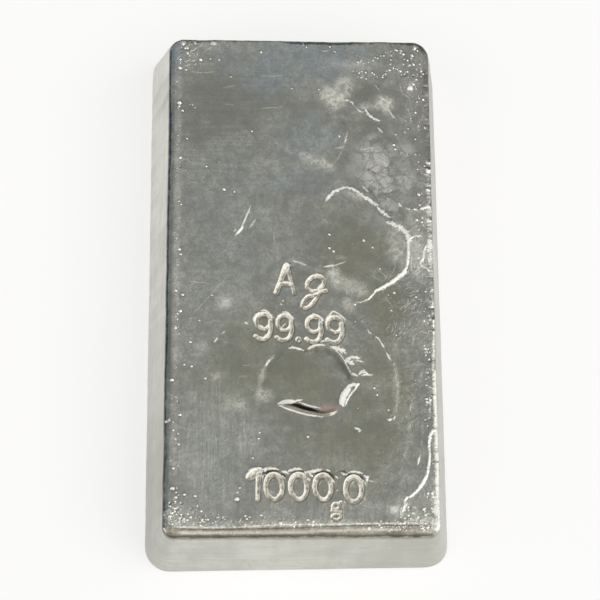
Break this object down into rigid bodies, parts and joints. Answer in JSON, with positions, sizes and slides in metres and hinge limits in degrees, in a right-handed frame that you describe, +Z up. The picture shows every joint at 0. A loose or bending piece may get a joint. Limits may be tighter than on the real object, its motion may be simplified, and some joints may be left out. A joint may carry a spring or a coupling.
{
  "type": "silver bar",
  "caption": "Cast bar of fine silver: a flat rectangular ingot with drafted walls, rounded corners and a rounded rim round the marked face.",
  "frame": {"origin": "centre of the poured face, the larger one, which the bar lies on", "axes": "+Z up through the thickness to the marked face, +Y along the length towards the head of the marks, +X across the width"},
  "size_m": [0.0576, 0.1066, 0.0168],
  "materials": {
    "cast_silver": "satin"
  },
  "bodies": {
    "root": {"bar": "cast_silver"}
  },
  "joints": []
}
